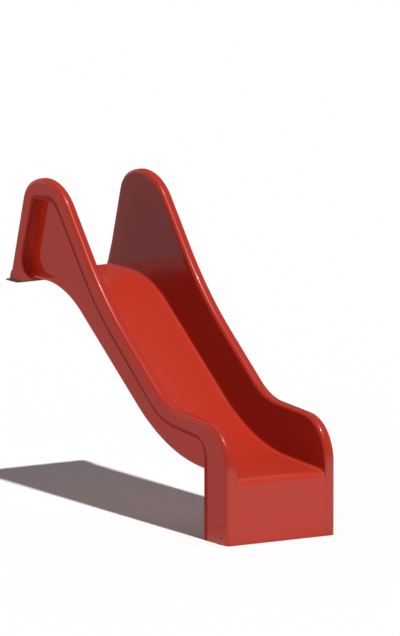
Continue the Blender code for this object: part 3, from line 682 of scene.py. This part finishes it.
def plate():
    """The start plate: a rounded rectangle drawn in over a quarter circle at each face.

    Round the outline the point is a corner's centre plus the corner radius; the rings go from the
    middle of one face over the edge to the middle of the other.
    """
    low, high = (np.array(corner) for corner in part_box("start_plate"))
    half = (high - low) / 2
    angles = np.linspace(0, 2 * math.pi, PLATE_AROUND, endpoint=False) + math.pi / PLATE_AROUND
    way = np.stack([np.cos(angles), np.sin(angles)], -1)
    corners = np.sign(way) * (half[:2] - PLATE_CORNER)
    outlines = [(corners * share, 0) for share in PLATE_RINGS]
    for s, c in arc(0, math.pi / 2, 5):
        radius = PLATE_CORNER - PLATE_ROUND * (1 - s)
        outlines.append((corners + way * radius, PLATE_ROUND * (1 - c)))
    rings = [np.column_stack([outline, np.full(PLATE_AROUND, rise - half[2])])
             for outline, rise in outlines]
    rings += [ring * (1, 1, -1) for ring in rings[::-1]]
    points = np.concatenate([*rings, [(0, 0, -half[2]), (0, 0, half[2])]]) + (low + high) / 2
    index = np.arange(len(rings) * PLATE_AROUND).reshape(-1, PLATE_AROUND)
    piece = add_piece("start_plate_fine", points, capped(index), "galvanised_steel",
                      ["start_plate"])
    ends = WIDTH / 2 - SCREW_END
    holes = [(low[0] + SCREW_EDGE, y, SCREW_HOLE / 2)
             for y in np.linspace(-ends, ends, SCREW_HOLES)]
    holes += [(*axis_of(f"start_bolt_{k}")[0][:2], HOLE) for k in START_BOLTS]
    cut(piece, [turned([(radius, low[2] - CUT_PAST), (radius, high[2] + CUT_PAST)], (x, y, 0),
                       (0, 0, 1)) for x, y, radius in holes])


def moulding_holes():
    """Countersunk holes in the start and plain holes in the legs, as bodies to cut."""
    seat = COUNTERSUNK_DROP + COUNTERSUNK_HOLE - HOLE
    rows = [(COUNTERSUNK_HOLE + wider, height) for wider, height in HOLE_MOUTH]
    rows += [(COUNTERSUNK_HOLE, -COUNTERSUNK_DROP), (HOLE, -seat), (HOLE, -3 * LAMINATE)]
    bodies = []
    for k in START_BOLTS:
        x, y, _ = axis_of(f"start_bolt_{k}")[0]
        bodies.append(turned(rows, (x, y, BED_Z), (0, 0, 1)))
    for spot in FOOT_SPOTS:
        centre, axis, _, _ = axis_of(f"foot_bolt_{spot}")
        bodies.append(turned([(HOLE, -LAMINATE), (HOLE, 2 * LAMINATE)], centre, axis))
    return bodies


class Value:
    """A number in a material; arithmetic on it adds Math nodes."""

    def __init__(self, tree, socket):
        self.tree = tree
        self.socket = socket

    def math(self, operation, *values, clamp=False):
        return self.tree.node("ShaderNodeMath", dict(enumerate(values)), operation=operation,
                              use_clamp=clamp)

    def __add__(self, other):
        return self.math("ADD", self, other)

    def __radd__(self, other):
        return self.math("ADD", other, self)

    def __sub__(self, other):
        return self.math("SUBTRACT", self, other)

    def __rsub__(self, other):
        return self.math("SUBTRACT", other, self)

    def __mul__(self, other):
        return self.math("MULTIPLY", self, other)

    def __rmul__(self, other):
        return self.math("MULTIPLY", other, self)

    def size(self):
        return self.math("ABSOLUTE", self)

    def clamp(self):
        return self.math("ADD", self, 0.0, clamp=True)

    def above(self, edge, soft):
        """0 up to edge, then rising to 1 over soft."""
        return self.math("MULTIPLY", self - edge, 1 / soft, clamp=True)

    def below(self, edge, soft):
        """1 up to edge, then falling to 0 over soft."""
        return 1.0 - self.above(edge, soft)


class Tree:
    """A node tree under construction."""

    def __init__(self, owner):
        owner.use_nodes = True
        self.tree = owner.node_tree

    def node(self, kind, sockets=None, output=0, **settings):
        """Add a node: its settings first, then its sockets."""
        node = self.tree.nodes.new(kind)
        for name, value in settings.items():
            setattr(node, name, value)
        for name, value in (sockets or {}).items():
            self.feed(node.inputs[name], value)
        return Value(self, node.outputs[output])

    def feed(self, socket, value):
        """Link a value to a socket, or set a plain number or colour on it."""
        if isinstance(value, Value):
            self.tree.links.new(value.socket, socket)
        else:
            socket.default_value = value

    def end(self, shader):
        """Make a shader the material's surface."""
        self.feed(self.tree.nodes["Material Output"].inputs["Surface"], shader)

    def split(self, vector):
        """The three numbers of a vector."""
        first = self.node("ShaderNodeSeparateXYZ", {"Vector": vector})
        outputs = first.socket.node.outputs
        return [Value(self, outputs[k]) for k in range(3)]

    def mix(self, factor, first, second):
        """A colour between two: sockets 6 and 7 and output 2 are the Mix node's colours."""
        return self.node("ShaderNodeMix", {0: factor, 6: first, 7: second}, 2, data_type="RGBA")

    def light_path(self, output):
        return self.node("ShaderNodeLightPath", output=output)


class Finish(Tree):
    """A material under construction."""

    def __init__(self, name):
        self.material = bpy.data.materials.new(name)
        super().__init__(self.material)
        self.shader = self.tree.nodes["Principled BSDF"]

    def set(self, **values):
        for name, value in values.items():
            self.feed(self.shader.inputs[name.replace("_", " ")], value)

    def place(self):
        return self.node("ShaderNodeTexCoord", output="Object")

    def noise(self, scale, detail, stretch=(1, 1, 1), turn=(0, 0, 0), at=None):
        spot = self.node("ShaderNodeMapping", {"Vector": at or self.place(), "Scale": stretch,
                                               "Rotation": turn})
        return self.node("ShaderNodeTexNoise", {"Vector": spot, "Scale": scale, "Detail": detail})

    def bump(self, height, strength, distance, under=None):
        sockets = {"Height": height, "Strength": strength, "Distance": distance}
        if under:
            sockets["Normal"] = under
        return self.node("ShaderNodeBump", sockets)

    def laminate(self):
        """Short glass fibres (stretched noise, turned four ways), and resin coloured by them."""
        fibres = []
        for k in range(4):
            noise = self.noise(1.0, 1.0, (620, 38, 300), (0.4 * k, 0.7 * k, math.pi / 4 * k))
            fibres.append(noise.above(0.56, 0.10))
        fibres = (fibres[0] + fibres[1] + fibres[2] + fibres[3]).clamp()
        resin = self.mix(self.noise(7.0, 4.0), RESIN_DARK, RESIN_LIGHT)
        return fibres, self.mix(fibres * 0.45, resin, FIBRE)


RED_DARK = (0.478, 0.0250, 0.0085, 1)
RED_LIGHT = (0.516, 0.0290, 0.0105, 1)
# Dull dark red: painted shade on the strip along the band's edge, and a red coat on the bolt heads.
RED_DULL_AND_EDGE_SHADE = (0.350, 0.0195, 0.0115, 1)
# Darker red on top of the rim: painted shade.
RED_RIM_PAINTED_SHADE = (0.425, 0.0250, 0.0100, 1)
RED_BED = (0.500, 0.0325, 0.0145, 1)
# Darker red on the walls' inner faces: painted shade.
RED_WALL_PAINTED_SHADE = (0.335, 0.0200, 0.0100, 1)
# Lighter red in the hollow behind the band and under rim and band: painted light against the shade
# there.
RED_RECESS_PAINTED_LIGHT = (0.960, 0.1600, 0.1100, 1)
RED_SCUFFED = (0.560, 0.0700, 0.0480, 1)
DUST = (0.430, 0.300, 0.250, 1)
RESIN_DARK = (0.400, 0.270, 0.170, 1)
RESIN_LIGHT = (0.520, 0.400, 0.270, 1)
FIBRE = (0.640, 0.560, 0.430, 1)
PLY_DARK = (0.150, 0.080, 0.036, 1)
PLY_LIGHT = (0.400, 0.265, 0.140, 1)
PLY_GRAIN = (0.300, 0.180, 0.085, 1)
PLY_DAMP = (0.120, 0.070, 0.036, 1)
ZINC_DARK = (0.115, 0.117, 0.121, 1)
ZINC_LIGHT = (0.185, 0.188, 0.193, 1)
ZINC_BLOTCH = (0.055, 0.054, 0.054, 1)
STEEL_DARK = (0.085, 0.070, 0.064, 1)
STEEL_LIGHT = (0.135, 0.115, 0.106, 1)
GRIME = (0.050, 0.040, 0.034, 1)
WHITE = (1, 1, 1, 1)
BLACK = (0, 0, 0, 1)
FLOOR = (0.925, 0.935, 0.930, 1)
SKY_LOW = (0.320, 0.275, 0.305, 1)
SKY_HIGH = (0.125, 0.106, 0.119, 1)
MIRRORED_OVERHEAD = (0.45, 0.45, 0.46, 1)
MIRRORED_BEHIND = (0.04, 0.04, 0.04, 1)

PLY = 0.0015                # thickness of one ply
PATH_HALF = 0.125           # half of the bed's most worn width, which fades out over PATH_FADE
PATH_FADE = 0.07
RAW_HALF = 0.180            # half of the width of raw laminate under the bed
BACK_TURN = (0.958, 0.2866)     # cosine and sine of the hood's back edge from upright


def bed_marks(made, surface, out, visible):
    """Scratches along the bed in worn patches, where children slide; out is from its middle."""
    worn = out.below(PATH_HALF, PATH_FADE) * visible * made.noise(2.2, 2.0).above(0.38, 0.3)
    marks = made.noise(1.0, 2.0, (5, 900, 1), at=surface).above(0.60, 0.12)
    long_marks = made.noise(1.0, 2.0, (1.6, 340, 1), at=surface).above(0.64, 0.10)
    return (marks * 0.5 + long_marks).clamp() * worn


def gelcoat():
    """Red gelcoat, glossy on band and walls and duller on the bed and on top of the rim.

    The bed has a tint of its own; the walls and the rim's top are painted darker, as painted
    shade, and the hollow behind the band and the hidden faces under rim and band are painted
    lighter, as painted light against the shade there. Bed tint and rim shade end at the nose. A
    strip along the free edges is matte and painted darker, as painted shade, and the bed's
    underside is raw laminate: both come from a second, unpolished shader.
    """
    made = Finish("gelcoat")
    surface = made.node("ShaderNodeUVMap", uv_map="surface")
    along, across, _ = made.split(surface)
    skin, away, _ = made.split(made.node("ShaderNodeUVMap", uv_map="zone"))
    x, y, height = made.split(made.place())
    out = across.size()
    visible = 1.0 - skin.clamp()
    hidden = skin.above(0.5, 0.3)
    fine = made.noise(140.0, 3.0)
    rubbed = bed_marks(made, surface, out, visible)
    dust = height.below(0.0, 0.05) * made.noise(34.0, 5.0).above(0.42, 0.30)

    behind_nose = along.below(side_paths()[1].before(5), 0.03)
    on_bed = out.below(FILLET_START + 0.0085, 0.008) * visible * behind_nose
    # Painted shade: the walls' inner faces are painted darker.
    wall_painted_shade = out.above(FILLET_START + 0.0125, 0.010) * y.size().below(WALL_Y + 0.006, 0.006)
    # The rim's top: duller gloss, and painted darker as painted shade.
    on_rim = ((0.0 - skin) * 5.0).clamp() * behind_nose
    back_x = FRONT_X - HOOD_FOOT[0]
    from_back = (x - back_x) * BACK_TURN[0] - (height - HOOD_FOOT[1]) * BACK_TURN[1]
    # Painted light: the hollow near the hood's back edge and the faces under rim and band are
    # painted lighter where shade falls.
    inside = (hidden * from_back.below(0.005, 0.075) + skin.above(1.0, 0.5)).clamp()

    red = made.mix(made.noise(3.0, 4.0) * 0.6 + fine * 0.4, RED_DARK, RED_LIGHT)
    for share, shade in ((on_bed, RED_BED), (wall_painted_shade * visible, RED_WALL_PAINTED_SHADE), (on_rim, RED_RIM_PAINTED_SHADE),
                         (inside, RED_RECESS_PAINTED_LIGHT), (rubbed * 0.16, RED_SCUFFED), (dust * 0.06, DUST)):
        red = made.mix(share, red, shade)
    handled = (on_bed + on_rim).clamp()
    gloss = 0.08 + made.noise(24.0, 4.0) * 0.04 + handled * 0.22 + rubbed * 0.08 + dust * 0.10
    wave = made.bump(made.noise(7.5, 1.0), 0.06, 0.002)
    peel = made.bump(made.noise(420.0, 1.0), 0.03, 0.0001, wave)
    made.set(Base_Color=red, Roughness=gloss, Normal=peel, IOR=1.45, Specular_IOR_Level=0.25,
             Coat_Weight=0.55 - handled * 0.50 - rubbed * 0.05 - dust * 0.15, Coat_Roughness=0.05)

    # Painted shade: a matte strip along the band's free edges is painted darker, with chips of
    # wear.
    matte_edge_shade = away.below(0.90, 0.12) * skin.below(0.85, 0.1)
    chips = away.below(0.0, 0.18) * fine.above(0.56, 0.10)
    raw = hidden * (out + made.noise(26.0, 4.0) * 0.030).below(RAW_HALF, 0.006)
    fibres, resin = made.laminate()
    edge_shade_and_chips = made.mix(chips * 0.30, RED_DULL_AND_EDGE_SHADE, RED_SCUFFED)
    mat = made.bump(fibres * raw + made.noise(60.0, 4.0) * 0.6, 0.55, 0.0006)
    unpolished = made.node("ShaderNodeBsdfPrincipled", {
        "Base Color": made.mix(raw, edge_shade_and_chips, resin), "Roughness": 0.62 - fibres * 0.12,
        "Specular IOR Level": 0.05, "Normal": mat})
    polished = Value(made, made.shader.outputs[0])
    made.end(made.node("ShaderNodeMixShader", {0: (matte_edge_shade + raw).clamp(), 1: polished,
                                               2: unpolished}))
    return made.material


def raw_laminate():
    """Hand-laid glass mat in resin, as on the ribs."""
    made = Finish("raw_laminate")
    fibres, resin = made.laminate()
    grain = made.bump(fibres + made.noise(60.0, 4.0), 0.55, 0.0006)
    made.set(Base_Color=resin, Roughness=0.52 - fibres * 0.12, Normal=grain)
    return made.material


def plywood():
    """Plies on the edges, grain along the board, darker damp patches, and ends painted red."""
    made = Finish("backing_board")
    _, y, height = made.split(made.place())
    ply = height.math("SINE", height * (math.pi / PLY)) * 0.5 + 0.5
    grain = made.noise(1.0, 4.0, (420, 18, 60))
    colour = made.mix(grain * 0.55, made.mix(ply, PLY_DARK, PLY_LIGHT), PLY_GRAIN)
    damp = made.noise(14.0, 4.0).above(0.50, 0.20)
    colour = made.mix(damp * 0.35, colour, PLY_DAMP)
    painted = y.size().above(BOARD_HALF - 0.0045, 0.004)
    made.set(Base_Color=made.mix(painted, colour, RED_DARK), Roughness=0.62 + grain * 0.22,
             Normal=made.bump(grain + ply * 0.5, 0.4, 0.0004))
    return made.material


def galvanised_steel():
    """Zinc with its crystals dulled by weather, darker in blotches."""
    made = Finish("galvanised_steel")
    crystals = made.node("ShaderNodeTexVoronoi", {"Vector": made.place(), "Scale": 130.0}, 1)
    shade = made.split(crystals)[0]
    blotch = made.noise(30.0, 5.0)
    dark = blotch.above(0.48, 0.25)
    grain = made.noise(420.0, 3.0) + shade * 0.4
    zinc = made.mix(shade, ZINC_DARK, ZINC_LIGHT)
    made.set(Base_Color=made.mix(dark * 0.7, zinc, ZINC_BLOTCH),
             Roughness=0.40 + shade * 0.10 + blotch * 0.12, Metallic=0.85 - dark * 0.25,
             Normal=made.bump(grain, 0.25, 0.0001))
    return made.material


def stainless_steel():
    """Drawn steel with turning marks and grime; the heads outside are coated red."""
    made = Finish("stainless_steel")
    grime = made.noise(160.0, 5.0).above(0.50, 0.20)
    marks = made.noise(1.0, 2.0, (900, 60, 900))
    steel = made.mix(grime * 0.6, made.mix(marks, STEEL_DARK, STEEL_LIGHT), GRIME)
    coated = made.split(made.place())[1].size().above(WIDTH / 2 + 0.0002, 0.0001)
    made.set(Base_Color=made.mix(coated, steel, RED_DULL_AND_EDGE_SHADE),
             Roughness=0.26 + grime * 0.25 + marks * 0.08,
             Metallic=(1.0 - grime * 0.4) * (1.0 - coated),
             Normal=made.bump(marks, 0.10, 0.0001))
    return made.material


def dress():
    """Make the finer pieces and give every piece and carried-over node its finish."""
    for spot in FOOT_SPOTS:
        foot_bolt(f"foot_bolt_{spot}")
        washer(f"foot_washer_{spot}")
        nut(f"foot_nut_{spot}")
    for k in START_BOLTS:
        start_bolt(f"start_bolt_{k}")
        nut(f"start_nut_{k}")
    plate()
    cut(moulding(), moulding_holes())
    finishes = {"gelcoat": gelcoat(), "raw_laminate": raw_laminate(), "backing_board": plywood(),
                "galvanised_steel": galvanised_steel(), "stainless_steel": stainless_steel()}
    slots = {row["node"]: row["material_slot"] for row in frame["record"]["subparts"]}
    for thing in bpy.data.objects:
        slot = slots.get(thing.name, thing.get("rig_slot"))
        if thing.type == "MESH" and slot in finishes:
            thing.data.materials.clear()
            thing.data.materials.append(finishes[slot])


def floor():
    """A pale floor that keeps the shadow.

    Mirrored in the slide, it is darker behind the exit and nearly black on the far side.
    """
    size = 40.0
    mesh = bpy.data.meshes.new("floor")
    mesh.from_pydata([(-size, -size, 0), (size, -size, 0), (size, size, 0), (-size, size, 0)], [],
                     [(0, 1, 2, 3)])
    piece = bpy.data.objects.new("floor", mesh)
    bpy.context.scene.collection.objects.link(piece)
    made = Finish("floor")
    made.tree.nodes.remove(made.shader)
    x, y, _ = made.split(made.place())
    ahead = x.above(0.56, 0.625)
    far = y.above(0.15, 0.40) * (1.0 - ahead)
    bright = (ahead * 0.65 + 0.35) * (1.0 - far * 0.92)
    colour = made.mix(1.0 - made.light_path("Is Glossy Ray") * (1.0 - bright), BLACK, FLOOR)
    made.end(made.node("ShaderNodeBsdfDiffuse", {"Color": colour}))
    mesh.materials.append(made.material)


def light():
    """A high key over the exit, and a soft sky that is white where the camera sees it.

    Mirrored in the slide, the sky is darker overhead and nearly black beyond the far back corner.
    """
    lean = 0.315                # of the key toward the exit, for each metre up
    key = bpy.data.lights.new("key", "SUN")
    key.energy = 3.0
    key.angle = math.radians(2.0)
    lamp = bpy.data.objects.new("key", key)
    bpy.context.scene.collection.objects.link(lamp)
    lamp.rotation_euler = (0, math.atan(lean), 0)
    sky = bpy.data.worlds.new("sky")
    bpy.context.scene.world = sky
    made = Tree(sky)
    x, y, up = made.split(made.node("ShaderNodeTexCoord", output="Generated"))
    seen = (made.light_path("Is Camera Ray") + made.light_path("Is Transmission Ray")).clamp()
    behind = y.above(0.05, 0.25) * (0.0 - x).above(0.05, 0.25) * up.below(0.35, 0.30)
    mirrored = made.mix(up.above(0.10, 0.50), WHITE, MIRRORED_OVERHEAD)
    mirrored = made.mix(behind, mirrored, MIRRORED_BEHIND)
    colour = made.mix(seen, made.mix(up.above(0.35, 0.35), SKY_LOW, SKY_HIGH), WHITE)
    colour = made.mix(made.light_path("Is Glossy Ray"), colour, mirrored)
    made.feed(made.tree.nodes["Background"].inputs["Color"], colour)
    bpy.context.scene.view_settings.view_transform = "Standard"


def camera():
    """A long lens far away, 59 degrees round and 10 degrees up, framed as the photograph."""
    azimuth = math.radians(58.65)
    elevation = math.radians(9.77)
    distance = 75.0
    picture_height = 636
    points_in_a_metre = 234.96
    aim_right = 0.1267
    aim_up = 0.3164
    aim_height = 0.5
    back = np.array([math.sin(azimuth) * math.cos(elevation),
                     -math.cos(azimuth) * math.cos(elevation), math.sin(elevation)])
    right = np.array([math.cos(azimuth), math.sin(azimuth), 0.0])
    up = np.cross(back, right)
    middle = np.array([0.0, 0.0, aim_height]) + aim_right * right + aim_up * up
    data = bpy.data.cameras.new("camera")
    data.sensor_width = 36.0
    data.lens = data.sensor_width * distance / (picture_height / points_in_a_metre)
    data.clip_start = 1.0
    data.clip_end = 300.0
    eye = bpy.data.objects.new("camera", data)
    bpy.context.scene.collection.objects.link(eye)
    eye.location = middle + distance * back
    eye.rotation_euler = (math.pi / 2 - elevation, 0, azimuth)
    bpy.context.scene.camera = eye


dress()
floor()
light()
camera()
